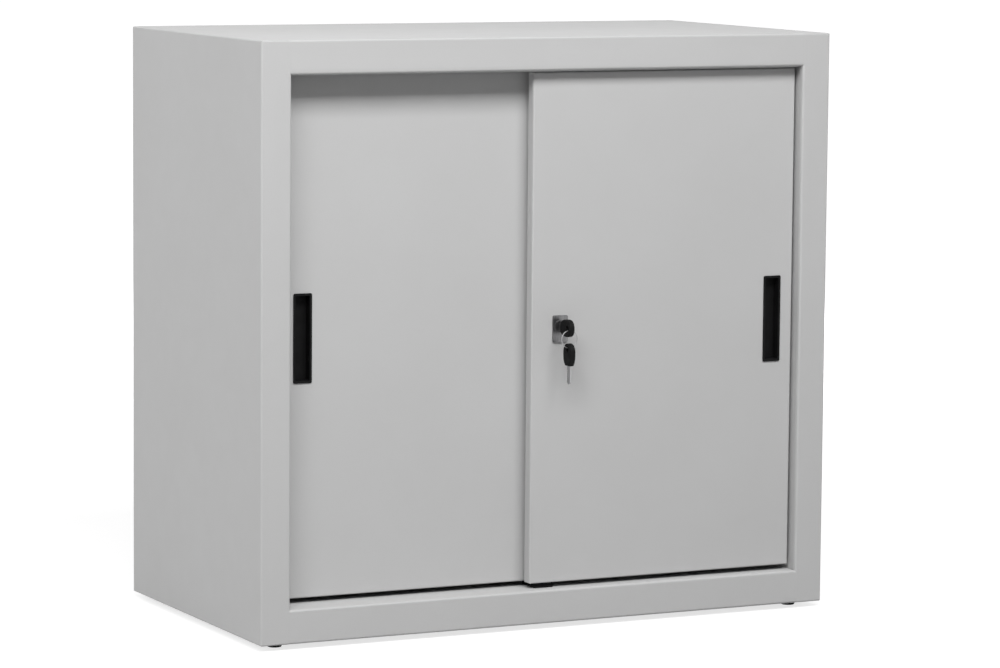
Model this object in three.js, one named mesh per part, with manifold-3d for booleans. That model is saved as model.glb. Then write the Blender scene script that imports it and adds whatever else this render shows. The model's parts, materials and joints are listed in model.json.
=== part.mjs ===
// Sliding door cabinet in folded sheet steel, in millimetres, +Z up, front towards -Y.
// X is measured from the middle of the cabinet, Y from the face of the front frame and Z from
// the floor. The finished group is then moved back so that its origin is at the middle of the
// object's bounding box, on the floor.

import * as THREE from 'three';
import { mergeVertices } from 'three/addons/utils/BufferGeometryUtils.js';
import Module from 'manifold-3d';

const wasm = await Module();
wasm.setup();

// Driving sizes of the case
const caseSize = {
  width: 800,
  depth: 430,
  height: 746.5,
  sheet: 0.8,
  bend: 3,
};
const frame = {
  width: 40,
  headWidth: 42.5,
  sillWidth: 43,
  returnDepth: 10,
  lip: 8,
};
const edgeFlange = {
  side: 15,
  rear: 19,
  foot: 18,
  lap: 12,
  lapStep: 2,
};
const sideTuck = {
  down: 20,
};

// Strip behind the head of the frame that covers the hangers above the doors
const cover = {
  sheet: 0.8,
  rise: 8,
  drop: 1.9,
};

// Posts that close the frame beside the doors
const post = {
  sheet: 0.8,
  bend: 1.6,
  inset: 1.5,
  behind: 4,
};

// Clearances
const restGap = 0.3;
const runGap = 0.1;
const overrun = 5;

// The four push-in glides
const glide = {
  height: 7,
  radius: 9,
  chamfer: 1,
  stemRadius: 4,
  barbRadius: 4.8,
  stemTop: 9,
  tipRadius: 3,
  fromSide: 32,
  fromFront: 31,
  fromBack: 31,
};

// Two doors that pass each other
const door = {
  overlap: 44,
  sideGap: 2,
  topGap: 2.5,
  footGap: 6.5,
  setback: 16,
  thickness: 16,
  between: 8,
  sheet: 0.8,
  bend: 2.5,
  sideFlange: 14,
  topFlange: 26,
  footFlange: 16,
};
const doorRib = {
  crown: 20,
  foot: 28,
  lip: 12,
  height: 12,
  bend: 2,
  footClear: 15,
  topClear: 3,
};

// Double hanging rail behind the head of the frame
const rail = {
  sheet: 1,
  bend: 1.5,
  ledge: 6.5,
  lip: 3.5,
  rise: 9,
  endClear: 20,
};
const roller = {
  treadRadius: 8,
  flangeRadius: 10,
  width: 8,
  treadWidth: 2,
  rimWidth: 1.6,
  chamfer: 0.8,
  axleRadius: 2.5,
  headRadius: 4.5,
  headThickness: 1.2,
  sideClear: 0.9,
};
const hanger = {
  thickness: 2,
  width: 36,
  fromEdge: 40,
  tuck: 24,
  crown: 9,
  corner: 6,
  slotClear: 0.5,
};
const buffer = {
  length: 12,
  height: 18,
  backClear: 0.9,
};

// Guide on the sill that steers the feet of both doors
const guide = {
  endClear: 4,
  base: 2,
  tongue: 6,
  engagement: 9,
  frontEdge: 2,
  bevel: 3,
};
const channel = {
  sheet: 0.8,
  bend: 1,
  inner: 7.4,
  height: 12.5,
  lip: 1.8,
  endClear: 4,
};

// Slotted shelf standards, clips and the shelf
const upright = {
  sheet: 1.2,
  bend: 2,
  width: 22,
  depth: 10,
  fromFront: 80,
  fromBack: 30,
  slotWidth: 5,
  slotHeight: 12,
  slotPitch: 32,
  firstSlot: 34,
};
const clip = {
  sheet: 1.6,
  width: 18,
  leg: 18,
  tab: 14,
  hookWidth: 4.2,
  hookThickness: 1.6,
  hookHeight: 5,
  hookDrop: 6,
  slotClear: 0.6,
  slotSteps: 9,
};
const shelf = {
  sheet: 0.8,
  bend: 2,
  height: 25,
  lip: 12,
  endClear: 1.5,
  frontClear: 10,
  backClear: 3,
};
const floorRib = {
  crown: 24,
  foot: 30,
  lip: 10,
  height: 18,
  bend: 2,
  endClear: 8,
};

// Moulded recessed pulls
const pull = {
  width: 25,
  height: 112,
  flange: 1,
  corner: 2,
  rim: 1.6,
  depth: 12.8,
  wall: 1.2,
  cupCorner: 2.5,
  fromEdge: 30.5,
};

// Lock with its cam, and the strike on the rear door
const lock = {
  plateWidth: 21,
  plateHeight: 34,
  plateThickness: 2,
  plateCorner: 2,
  caseWidth: 17.5,
  caseHeight: 29,
  caseDepth: 14.8,
  caseCorner: 2,
  fromEdge: 40,
  axisRise: 2.7,
};
const plug = {
  radius: 7,
  headRadius: 8.5,
  headThickness: 1.2,
  depth: 20.2,
  square: 6,
  squareLength: 1.8,
  studRadius: 2.5,
  studLength: 2.8,
};
const cam = {
  thickness: 1.5,
  bossRadius: 7.5,
  reach: 22.5,
  tipRadius: 4.5,
};
const camNut = {
  acrossFlats: 10,
  thickness: 2.5,
};
const strike = {
  sheet: 1.5,
  bend: 1.9,
  fromAxis: 7.2,
  foot: 14,
  reach: 7,
  height: 16,
  rise: 9.5,
};

// Two keys on a ring
const key = {
  bladeLength: 23.4,
  bladeHeight: 8,
  bladeThickness: 2,
  keywayClear: 0.3,
  cutDepth: 1.6,
  cutWidth: 1.4,
  tip: 2.5,
  stand: 3.6,
  headLength: 28.5,
  headWidth: 22,
  neckWidth: 13,
  headThickness: 7,
  headCorner: 9.5,
  headBevel: 1.2,
  tangDepth: 6,
  holeRadius: 4,
  holeFromEnd: 8.3,
};
const ring = {
  radius: 11,
  wire: 0.6,
};

// Facets of round shapes
const roundSteps = 24;
const holeSteps = 16;
const bendSteps = 3;
const ringSteps = 28;
const wireSteps = 6;

// Places worked out from the sizes
const halfWidth = caseSize.width / 2;
const wallInner = halfWidth - caseSize.sheet;
const bottom = glide.height;
const top = glide.height + caseSize.height;
const topUnder = top - caseSize.sheet;
const backFace = caseSize.depth;
const backInner = caseSize.depth - caseSize.sheet;
const openingHalf = halfWidth - frame.width;
const sill = bottom + frame.sillWidth;
const head = top - frame.headWidth;
const headEnd = openingHalf - restGap;
const floorTop = sill;
const floorUnder = floorTop - caseSize.sheet;
const cornerInner = halfWidth - caseSize.bend - restGap;
const flangeEdge = halfWidth - edgeFlange.side;
const lidEdge = flangeEdge - restGap;
const lapTop = topUnder - restGap;
const lapUnder = lapTop - caseSize.sheet;

const doorWidth = openingHalf - door.sideGap + door.overlap / 2;
const doorFoot = sill + door.footGap;
const doorTop = head - door.topGap;
const doorPitch = door.thickness + door.between;
const frontDoor = {
  left: -door.overlap / 2,
  right: doorWidth - door.overlap / 2,
  face: door.setback,
};
const rearDoor = {
  left: -frontDoor.right,
  right: -frontDoor.left,
  face: door.setback + doorPitch,
};
const doorMiddleHeight = (doorTop + doorFoot) / 2;
const doorsBack = rearDoor.face + door.thickness;

const railLip = head + rail.rise + rail.lip;
const rollerHeight = railLip + restGap + roller.treadRadius;
const uprightWeb = wallInner - restGap - upright.depth;
const backPanelFront = backInner - restGap - caseSize.sheet;

const lockX = frontDoor.left + lock.fromEdge;
const plateZ = doorMiddleHeight;
const lockZ = plateZ + lock.axisRise;
const plateBack = frontDoor.face - restGap;
const plateFront = plateBack - lock.plateThickness;
const plugFront = plateFront - restGap - plug.headThickness;
const plugBack = plateFront - restGap + plug.depth;
const camFront = plugBack + restGap;
const nutFront = camFront + cam.thickness + restGap;
const keyShoulder = plugFront - key.stand;
const keyHoleY = keyShoulder - key.headLength + key.holeFromEnd;
const keyFront = Math.min(keyShoulder - key.headLength, keyHoleY - key.headWidth / 2);

// Finishes
const paint = { color: 0xc6c8c8, roughness: 0.55, metalness: 0.1 };
const zinc = { color: 0xb4b6b8, roughness: 0.4, metalness: 0.85 };
const darkMetal = { color: 0x55565a, roughness: 0.35, metalness: 0.8 };
const nickel = { color: 0xc0c0c4, roughness: 0.25, metalness: 0.95 };
const blackPlastic = { color: 0x141416, roughness: 0.55, metalness: 0 };
const nylon = { color: 0xe8e6de, roughness: 0.5, metalness: 0 };
const rubber = { color: 0x1c1c1e, roughness: 0.85, metalness: 0 };

// A closed geometry as a solid for joining and cutting
function solid(geometry) {
  const bare = geometry.index ? geometry.clone() : geometry;
  bare.deleteAttribute('normal');
  bare.deleteAttribute('uv');
  const merged = mergeVertices(bare);
  const points = Float32Array.from(merged.attributes.position.array);
  const corners = Uint32Array.from(merged.index.array);
  if (signedVolume(points, corners) < 0) corners.reverse();
  const mesh = new wasm.Mesh({ numProp: 3, vertProperties: points, triVerts: corners });
  return new wasm.Manifold(mesh);
}

function signedVolume(points, corners) {
  const a = new THREE.Vector3();
  const b = new THREE.Vector3();
  const c = new THREE.Vector3();
  let sum = 0;
  for (let i = 0; i < corners.length; i += 3) {
    a.fromArray(points, 3 * corners[i]);
    b.fromArray(points, 3 * corners[i + 1]);
    c.fromArray(points, 3 * corners[i + 2]);
    sum += a.dot(b.cross(c));
  }
  return sum;
}

function join(first, ...others) {
  return others.reduce((whole, piece) => whole.add(piece), first);
}

function cut(first, ...others) {
  return others.reduce((whole, piece) => whole.subtract(piece), first);
}

function piece(name, shape, finish) {
  const { vertProperties, triVerts } = shape.getMesh();
  const geometry = new THREE.BufferGeometry();
  geometry.setAttribute('position', new THREE.Float32BufferAttribute(vertProperties, 3));
  geometry.setIndex(new THREE.Uint32BufferAttribute(triVerts, 1));
  geometry.computeVertexNormals();
  const mesh = new THREE.Mesh(geometry, new THREE.MeshStandardMaterial(finish));
  mesh.name = name;
  return mesh;
}

// A block between two corners
function block(x0, x1, y0, y1, z0, z1) {
  const geometry = new THREE.BoxGeometry(x1 - x0, y1 - y0, z1 - z0);
  geometry.translate((x0 + x1) / 2, (y0 + y1) / 2, (z0 + z1) / 2);
  return solid(geometry);
}

// Axes that a flat outline is drawn on, and the axis that it is extruded along
const planes = {
  alongX: new THREE.Matrix4().makeBasis(
    new THREE.Vector3(0, 1, 0),
    new THREE.Vector3(0, 0, 1),
    new THREE.Vector3(1, 0, 0),
  ),
  alongY: new THREE.Matrix4().makeBasis(
    new THREE.Vector3(1, 0, 0),
    new THREE.Vector3(0, 0, 1),
    new THREE.Vector3(0, 1, 0),
  ),
  alongZ: new THREE.Matrix4(),
};

function extrude(outline, plane, from, to) {
  const geometry = new THREE.ExtrudeGeometry(outline, {
    depth: to - from,
    bevelEnabled: false,
    curveSegments: bendSteps,
  });
  geometry.translate(0, 0, from);
  geometry.applyMatrix4(planes[plane]);
  return solid(geometry);
}

// A round bar or hole between two heights of its own axis
function rod(plane, centre, radius, from, to, steps = roundSteps) {
  const outline = new THREE.Shape();
  for (let i = 0; i < steps; i++) {
    const turn = (2 * Math.PI * i) / steps;
    const u = centre[0] + radius * Math.cos(turn);
    const v = centre[1] + radius * Math.sin(turn);
    if (i === 0) outline.moveTo(u, v);
    else outline.lineTo(u, v);
  }
  return extrude(outline, plane, from, to);
}

// A turned solid on an axis along Y, from [radius, place] pairs
function turned(profile) {
  const points = profile.map(([radius, place]) => new THREE.Vector2(radius, place));
  return solid(new THREE.LatheGeometry(points, roundSteps));
}

function roundedRectangle(u0, u1, v0, v1, radius) {
  const outline = new THREE.Shape();
  outline.moveTo(u0 + radius, v0);
  outline.lineTo(u1 - radius, v0);
  outline.absarc(u1 - radius, v0 + radius, radius, -Math.PI / 2, 0);
  outline.lineTo(u1, v1 - radius);
  outline.absarc(u1 - radius, v1 - radius, radius, 0, Math.PI / 2);
  outline.lineTo(u0 + radius, v1);
  outline.absarc(u0 + radius, v1 - radius, radius, Math.PI / 2, Math.PI);
  outline.lineTo(u0, v0 + radius);
  outline.absarc(u0 + radius, v0 + radius, radius, Math.PI, 1.5 * Math.PI);
  return outline;
}

// The section of a folded sheet: straight runs between corner points on its middle line,
// with a bend of one radius at each corner
function foldedSection(corners, sheet, bend) {
  const line = corners.map(([u, v]) => new THREE.Vector2(u, v));
  const middle = bend - sheet / 2;
  const left = [];
  const right = [];
  const offset = (point, normal) => {
    left.push(point.clone().addScaledVector(normal, sheet / 2));
    right.push(point.clone().addScaledVector(normal, -sheet / 2));
  };
  const normalOf = (a, b) => {
    const along = b.clone().sub(a).normalize();
    return new THREE.Vector2(-along.y, along.x);
  };
  offset(line[0], normalOf(line[0], line[1]));
  for (let i = 1; i < line.length - 1; i++) {
    const into = line[i].clone().sub(line[i - 1]).normalize();
    const outOf = line[i + 1].clone().sub(line[i]).normalize();
    const side = Math.sign(into.cross(outOf));
    const turn = Math.acos(THREE.MathUtils.clamp(into.dot(outOf), -1, 1));
    const back = middle * Math.tan(turn / 2);
    const start = line[i].clone().addScaledVector(into, -back);
    const normal = new THREE.Vector2(-into.y, into.x);
    const centre = start.clone().addScaledVector(normal, side * middle);
    for (let step = 0; step <= bendSteps; step++) {
      const swing = (side * turn * step) / bendSteps;
      const arm = start.clone().sub(centre).rotateAround(new THREE.Vector2(), swing);
      const facing = normal.clone().rotateAround(new THREE.Vector2(), swing);
      offset(centre.clone().add(arm), facing);
    }
  }
  const last = line.length - 1;
  offset(line[last], normalOf(line[last - 1], line[last]));
  return new THREE.Shape([...left, ...right.reverse()]);
}

// A hat section: two lips on the line v = 0, and a crown at v = height
function hatSection(middle, seat, rib, sheet) {
  return foldedSection([
    [middle - rib.foot / 2 - rib.lip, seat],
    [middle - rib.foot / 2, seat],
    [middle - rib.crown / 2, seat + rib.height],
    [middle + rib.crown / 2, seat + rib.height],
    [middle + rib.foot / 2, seat],
    [middle + rib.foot / 2 + rib.lip, seat],
  ], sheet, rib.bend);
}

// A block with all its edges rounded
function roundedBlock(x0, x1, y0, y1, z0, z1, radius) {
  const plan = extrude(roundedRectangle(x0, x1, y0, y1, radius), 'alongZ', z0, z1);
  const front = extrude(roundedRectangle(x0, x1, z0, z1, radius), 'alongY', y0, y1);
  const side = extrude(roundedRectangle(y0, y1, z0, z1, radius), 'alongX', x0, x1);
  return plan.intersect(front).intersect(side);
}

// The skin that the side panels and the lid are cut from, so that their faces line up
function caseSkin() {
  const t = caseSize.sheet;
  const outer = roundedBlock(-halfWidth, halfWidth, 0, backFace, bottom, top, caseSize.bend);
  const inner = roundedBlock(
    -wallInner, wallInner, t, backInner, bottom + t, topUnder, caseSize.bend - t,
  );
  return { outer, skin: cut(outer, inner) };
}

function sidePanel({ outer, skin }) {
  const t = caseSize.sheet;
  const far = halfWidth + overrun;
  const low = bottom - overrun;
  const high = top + overrun;
  const stileFace = openingHalf + caseSize.bend + frame.lip / 2;
  const wall = block(flangeEdge, far, -overrun, backFace + overrun, low, high);
  const stile = block(stileFace, far, -overrun, t, low, high);
  const foot = block(openingHalf, far, t, backFace + overrun, low, bottom + t);
  const keep = join(wall, stile, foot);
  const jamb = extrude(foldedSection([
    [stileFace + overrun, t / 2],
    [openingHalf + t / 2, t / 2],
    [openingHalf + t / 2, frame.returnDepth - t / 2],
    [openingHalf + t + frame.lip, frame.returnDepth - t / 2],
  ], t, caseSize.bend), 'alongZ', bottom, top);
  const lidSpace = block(
    openingHalf - overrun, flangeEdge, t + restGap, backFace, lapUnder - restGap, high,
  );
  const glideHoles = [glide.fromFront, backFace - glide.fromBack].map((y) => rod(
    'alongZ', [halfWidth - glide.fromSide, y], glide.stemRadius + restGap, low, sill, holeSteps,
  ));
  const folded = cut(join(skin.intersect(keep), jamb), lidSpace, ...glideHoles);
  return folded.intersect(outer);
}

function topPanel({ skin }) {
  const t = caseSize.sheet;
  const faceLow = head + caseSize.bend + frame.lip / 2;
  const lid = block(
    -lidEdge, lidEdge, t + restGap, backFace + overrun, top - edgeFlange.rear, top + overrun,
  );
  const headFace = block(-headEnd, headEnd, -overrun, caseSize.bend, faceLow, top + overrun);
  const headReturn = extrude(foldedSection([
    [t / 2, faceLow + overrun],
    [t / 2, head + t / 2],
    [frame.returnDepth - t / 2, head + t / 2],
    [frame.returnDepth - t / 2, head + t + frame.lip],
  ], t, caseSize.bend), 'alongX', -headEnd, headEnd);
  const lapMiddle = (lapTop + lapUnder) / 2;
  const lidMiddle = top - t / 2;
  const lapFront = caseSize.bend + restGap;
  const lapBack = backFace - caseSize.bend - restGap;
  const laps = [-1, 1].map((side) => extrude(foldedSection([
    [side * (lidEdge + edgeFlange.lap), lapMiddle],
    [side * lidEdge, lapMiddle],
    [side * (lidEdge - edgeFlange.lapStep), lidMiddle],
    [side * (lidEdge - edgeFlange.lap), lidMiddle],
  ], t, t), 'alongY', lapFront, lapBack));
  return join(skin.intersect(join(lid, headFace)), headReturn, ...laps);
}

function basePanel() {
  const t = caseSize.sheet;
  const floorMiddle = floorTop - t / 2;
  const tuck = wallInner - restGap - t / 2;
  const floorFront = frame.returnDepth + restGap;
  const floorBack = backFace - caseSize.bend - restGap;
  const floor = extrude(foldedSection([
    [-tuck, floorTop - sideTuck.down],
    [-tuck, floorMiddle],
    [tuck, floorMiddle],
    [tuck, floorTop - sideTuck.down],
  ], t, caseSize.bend), 'alongY', floorFront, floorBack);
  const front = extrude(foldedSection([
    [edgeFlange.foot, bottom + t / 2],
    [t / 2, bottom + t / 2],
    [t / 2, floorMiddle],
    [floorFront + overrun, floorMiddle],
  ], t, caseSize.bend), 'alongX', -headEnd, headEnd);
  const back = extrude(foldedSection([
    [floorBack - overrun, floorMiddle],
    [backFace - t / 2, floorMiddle],
    [backFace - t / 2, bottom + t + restGap],
  ], t, caseSize.bend), 'alongX', -lidEdge, lidEdge);
  return join(floor, front, back);
}

// The cover strip, which hangs behind the lip of the head
function railCover() {
  const front = frame.returnDepth + restGap;
  return block(
    -headEnd, headEnd, front, front + cover.sheet, head - cover.drop, head + cover.rise,
  );
}

// An angle behind the right stile, from the jamb back past the doors and out to the wall
function doorPost() {
  const t = post.sheet;
  const face = openingHalf + post.inset + t / 2;
  const back = doorsBack + post.behind + t / 2;
  const section = foldedSection([
    [face, frame.returnDepth + restGap],
    [face, back],
    [wallInner - restGap, back],
  ], t, post.bend);
  const railUnder = head + rail.rise - rail.sheet / 2;
  return extrude(section, 'alongZ', floorTop + restGap, railUnder - restGap);
}

function backPanel() {
  return block(
    -cornerInner, cornerInner, backPanelFront, backPanelFront + caseSize.sheet,
    floorTop + restGap, lapUnder - restGap,
  );
}

function floorStiffener() {
  const seat = floorUnder - restGap - caseSize.sheet / 2;
  const turnedDown = { ...floorRib, height: -floorRib.height };
  const section = hatSection(caseSize.depth / 2, seat, turnedDown, caseSize.sheet);
  const end = wallInner - caseSize.sheet - floorRib.endClear;
  return extrude(section, 'alongX', -end, end);
}

function glideFoot() {
  const flange = glide.height + caseSize.sheet + restGap;
  return turned([
    [0, 0],
    [glide.radius - glide.chamfer, 0],
    [glide.radius, glide.chamfer],
    [glide.radius, glide.height - restGap],
    [glide.stemRadius, glide.height - restGap],
    [glide.stemRadius, flange],
    [glide.barbRadius, flange],
    [glide.tipRadius, flange + glide.stemTop],
    [0, flange + glide.stemTop],
  ]).rotate([90, 0, 0]);
}

// One sheet folded into two J rails that hang under the lid, one for each door
function hangingRail() {
  const t = rail.sheet;
  const web = topUnder - restGap - t / 2;
  const ledge = head + rail.rise;
  const lips = [frontDoor, rearDoor].map((leaf) => leaf.face + door.thickness / 2);
  const legs = lips.map((lip) => lip - rail.ledge);
  const section = foldedSection([
    [lips[0], railLip],
    [lips[0], ledge],
    [legs[0], ledge],
    [legs[0], web],
    [legs[1], web],
    [legs[1], ledge],
    [lips[1], ledge],
    [lips[1], railLip],
  ], t, rail.bend);
  const end = halfWidth - rail.endClear;
  return extrude(section, 'alongX', -end, end);
}

// A rubber stop pressed over the lip of a rail, beyond the last place of the roller
function railBuffer(leaf, side) {
  const middle = leaf.face + door.thickness / 2;
  const rollerEnd = frontDoor.right - hanger.fromEdge + roller.flangeRadius + restGap;
  const near = side * rollerEnd;
  const far = side * (rollerEnd + buffer.length);
  const front = middle - rail.ledge + rail.sheet / 2 + restGap;
  const back = middle + roller.width / 2 + roller.sideClear - buffer.backClear;
  const ledgeTop = head + rail.rise + rail.sheet / 2 + restGap;
  const body = block(
    Math.min(near, far), Math.max(near, far), front, back, ledgeTop, ledgeTop + buffer.height,
  );
  const half = rail.sheet / 2 + restGap;
  const lipSlot = block(
    -halfWidth, halfWidth, middle - half, middle + half, head, railLip + restGap,
  );
  return cut(body, lipSlot, bendRelief(front, ledgeTop), bendRelief(middle - half, ledgeTop));
}

// Room for the inside of a rail bend under the corner of a buffer
function bendRelief(y, z) {
  const reach = rail.bend - rail.sheet;
  return block(-halfWidth, halfWidth, y - reach, y + reach, z - reach, z + reach);
}

function floorGuide() {
  const half = door.overlap / 2 - channel.endClear - guide.endClear;
  const seat = floorTop + restGap;
  const front = frontDoor.face + guide.frontEdge;
  const back = doorsBack - guide.frontEdge;
  const base = extrude(
    roundedRectangle(-half, half, front, back, guide.bevel), 'alongZ', seat, seat + guide.base,
  );
  const tongueTop = doorFoot + guide.engagement;
  const tongues = [frontDoor, rearDoor].map((leaf) => {
    const middle = leaf.face + door.thickness / 2;
    const outline = new THREE.Shape([
      new THREE.Vector2(-half, seat),
      new THREE.Vector2(half, seat),
      new THREE.Vector2(half, tongueTop - guide.bevel),
      new THREE.Vector2(half - guide.bevel, tongueTop),
      new THREE.Vector2(guide.bevel - half, tongueTop),
      new THREE.Vector2(-half, tongueTop - guide.bevel),
    ]);
    return extrude(outline, 'alongY', middle - guide.tongue / 2, middle + guide.tongue / 2);
  });
  return join(base, ...tongues);
}

// A door pan: the face, four returns and the flanges that turn in behind
function doorPan(leaf) {
  const t = door.sheet;
  const back = leaf.face + door.thickness;
  const middle = leaf.face + door.thickness / 2;
  const outer = roundedBlock(
    leaf.left, leaf.right, leaf.face, back, doorFoot, doorTop, door.bend,
  );
  const inner = roundedBlock(
    leaf.left + t, leaf.right - t, leaf.face + t, back - t, doorFoot + t, doorTop - t,
    door.bend - t,
  );
  const opening = block(
    leaf.left + door.sideFlange, leaf.right - door.sideFlange, middle, back + overrun,
    doorFoot + door.footFlange, doorTop - door.topFlange,
  );
  const guideSlot = block(
    leaf.left + channel.endClear, leaf.right - channel.endClear,
    middle - channel.inner / 2, middle + channel.inner / 2,
    doorFoot - overrun, doorFoot + t + restGap,
  );
  const plateBackFace = back - t - restGap;
  const plateHalf = hanger.width / 2 + hanger.slotClear;
  const hangerSlots = hangerPlaces(leaf).map((x) => block(
    x - plateHalf, x + plateHalf, plateBackFace - hanger.thickness - restGap, back - t,
    doorTop - door.bend, doorTop + overrun,
  ));
  return cut(outer, inner, opening, guideSlot, ...hangerSlots, pullHole(leaf));
}

function hangerPlaces(leaf) {
  return [leaf.left + hanger.fromEdge, leaf.right - hanger.fromEdge];
}

function pullMiddle(leaf) {
  const outer = leaf === frontDoor ? leaf.right - pull.fromEdge : leaf.left + pull.fromEdge;
  return [outer, doorMiddleHeight];
}

function pullHole(leaf) {
  const [x, z] = pullMiddle(leaf);
  const halfX = pull.width / 2 - pull.rim + restGap;
  const halfZ = pull.height / 2 - pull.rim + restGap;
  return extrude(
    roundedRectangle(x - halfX, x + halfX, z - halfZ, z + halfZ, pull.cupCorner + restGap),
    'alongY', leaf.face - overrun, leaf.face + door.bend,
  );
}

// A recessed pull: a rim on the face of the door and an open cup behind it
function recessedPull(leaf) {
  const [x, z] = pullMiddle(leaf);
  const seat = leaf.face - restGap;
  const rimFront = seat - pull.flange;
  const outline = (inset, corner) => roundedRectangle(
    x - pull.width / 2 + inset, x + pull.width / 2 - inset,
    z - pull.height / 2 + inset, z + pull.height / 2 - inset, corner,
  );
  const rim = extrude(outline(0, pull.corner), 'alongY', rimFront, seat);
  const cup = extrude(outline(pull.rim, pull.cupCorner), 'alongY', seat, seat + pull.depth);
  const hollow = extrude(
    outline(pull.rim + pull.wall, pull.cupCorner - pull.wall), 'alongY',
    rimFront - overrun, seat + pull.depth - pull.wall,
  );
  return cut(join(rim, cup), hollow);
}

function doorStiffener(leaf) {
  const seat = leaf.face + door.sheet + restGap + door.sheet / 2;
  const middle = (leaf.left + leaf.right) / 2;
  return extrude(
    hatSection(middle, seat, doorRib, door.sheet), 'alongZ',
    doorFoot + doorRib.footClear, doorTop - doorRib.topClear,
  );
}

// The inverted channel over the slot in the foot of a door, which runs over the floor guide
function guideChannel(leaf) {
  const t = channel.sheet;
  const middle = leaf.face + door.thickness / 2;
  const seat = doorFoot + door.sheet + restGap + t / 2;
  const wall = (channel.inner + t) / 2;
  const section = foldedSection([
    [middle - wall - channel.lip, seat],
    [middle - wall, seat],
    [middle - wall, doorFoot + channel.height],
    [middle + wall, doorFoot + channel.height],
    [middle + wall, seat],
    [middle + wall + channel.lip, seat],
  ], t, channel.bend);
  return extrude(
    section, 'alongX', leaf.left + channel.endClear, leaf.right - channel.endClear,
  );
}

// The plate that rises from the top of a door and carries one roller
function hangerPlate(leaf, x) {
  const back = leaf.face + door.thickness - door.sheet - restGap;
  const half = hanger.width / 2;
  const low = doorTop - hanger.tuck;
  const high = rollerHeight + hanger.crown;
  const plate = extrude(
    roundedRectangle(x - half, x + half, low, high, hanger.corner),
    'alongY', back - hanger.thickness, back,
  );
  const hole = rod(
    'alongY', [x, rollerHeight], roller.axleRadius + restGap,
    back - hanger.thickness - overrun, back + overrun, holeSteps,
  );
  return cut(plate, hole);
}

function rollerAxle(leaf, x) {
  const back = leaf.face + door.thickness - door.sheet - restGap;
  const rollerFront = leaf.face + door.thickness / 2 - roller.width / 2;
  const headBack = rollerFront - restGap;
  const shaft = rod('alongY', [x, rollerHeight], roller.axleRadius, headBack, back);
  const capped = rod(
    'alongY', [x, rollerHeight], roller.headRadius, headBack - roller.headThickness, headBack,
  );
  return join(shaft, capped);
}

// A grooved roller that runs on the lip of the rail
function groovedRoller(leaf, x) {
  const half = roller.width / 2;
  const bore = roller.axleRadius + runGap;
  const rimIn = half - roller.chamfer - roller.rimWidth / 2;
  return turned([
    [bore, -half],
    [roller.flangeRadius - roller.chamfer, -half],
    [roller.flangeRadius, roller.chamfer - half],
    [roller.flangeRadius, -rimIn],
    [roller.treadRadius, -roller.treadWidth / 2],
    [roller.treadRadius, roller.treadWidth / 2],
    [roller.flangeRadius, rimIn],
    [roller.flangeRadius, half - roller.chamfer],
    [roller.flangeRadius - roller.chamfer, half],
    [bore, half],
    [bore, -half],
  ]).translate([x, leaf.face + door.thickness / 2, rollerHeight]);
}

// A slotted standard against the side wall, drawn for the right side
function shelfUpright(y) {
  const t = upright.sheet;
  const half = upright.width / 2 - t / 2;
  const wall = wallInner - restGap;
  const section = foldedSection([
    [wall, y - half],
    [uprightWeb + t / 2, y - half],
    [uprightWeb + t / 2, y + half],
    [wall, y + half],
  ], t, upright.bend);
  const low = floorTop + restGap;
  const high = lapUnder - restGap;
  const bar = extrude(section, 'alongZ', low, high);
  const slots = [];
  for (let z = low + upright.firstSlot; z < high - upright.slotHeight; z += upright.slotPitch) {
    slots.push(block(
      uprightWeb - t, uprightWeb + upright.depth / 2,
      y - upright.slotWidth / 2, y + upright.slotWidth / 2,
      z - upright.slotHeight / 2, z + upright.slotHeight / 2,
    ));
  }
  return cut(bar, ...slots);
}

function clipSlotHeight() {
  return floorTop + restGap + upright.firstSlot + clip.slotSteps * upright.slotPitch;
}

// A shelf clip: a hook behind the web, a leg in front of it and a tab under the shelf
function shelfClip(y) {
  const slot = clipSlotHeight();
  const legBack = uprightWeb - restGap;
  const legFront = legBack - clip.sheet;
  const tabTop = slot - upright.slotHeight / 2 + clip.sheet;
  const legShape = new THREE.Shape([
    new THREE.Vector2(legBack, tabTop - clip.sheet),
    new THREE.Vector2(legBack, tabTop - clip.sheet + clip.leg),
    new THREE.Vector2(legFront, tabTop - clip.sheet + clip.leg),
    new THREE.Vector2(legFront, tabTop),
    new THREE.Vector2(legBack - clip.tab, tabTop),
    new THREE.Vector2(legBack - clip.tab, tabTop - clip.sheet),
  ]);
  const webBack = uprightWeb + upright.sheet + restGap;
  const hookTop = slot + upright.slotHeight / 2 - clip.slotClear;
  const hookLow = hookTop - clip.hookHeight;
  const hookShape = new THREE.Shape([
    new THREE.Vector2(legFront, hookLow),
    new THREE.Vector2(webBack, hookLow),
    new THREE.Vector2(webBack, hookLow - clip.hookDrop),
    new THREE.Vector2(webBack + clip.hookThickness, hookLow - clip.hookDrop),
    new THREE.Vector2(webBack + clip.hookThickness, hookTop),
    new THREE.Vector2(legFront, hookTop),
  ]);
  const leg = extrude(legShape, 'alongY', y - clip.width / 2, y + clip.width / 2);
  const hook = extrude(hookShape, 'alongY', y - clip.hookWidth / 2, y + clip.hookWidth / 2);
  return join(leg, hook);
}

// The adjustable shelf: a tray turned upside down with a lip all round
function shelfTray() {
  const t = shelf.sheet;
  const half = uprightWeb - restGap - clip.sheet - shelf.endClear;
  const front = doorsBack + shelf.frontClear;
  const back = backPanelFront - shelf.backClear;
  const low = clipSlotHeight() - upright.slotHeight / 2 + clip.sheet + restGap;
  const high = low + shelf.height;
  const outer = roundedBlock(-half, half, front, back, low, high, shelf.bend);
  const inner = roundedBlock(
    t - half, half - t, front + t, back - t, low + t, high - t, shelf.bend - t,
  );
  const under = block(
    shelf.lip - half, half - shelf.lip, front + shelf.lip, back - shelf.lip,
    low - overrun, (low + high) / 2,
  );
  return cut(outer, inner, under);
}

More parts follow.
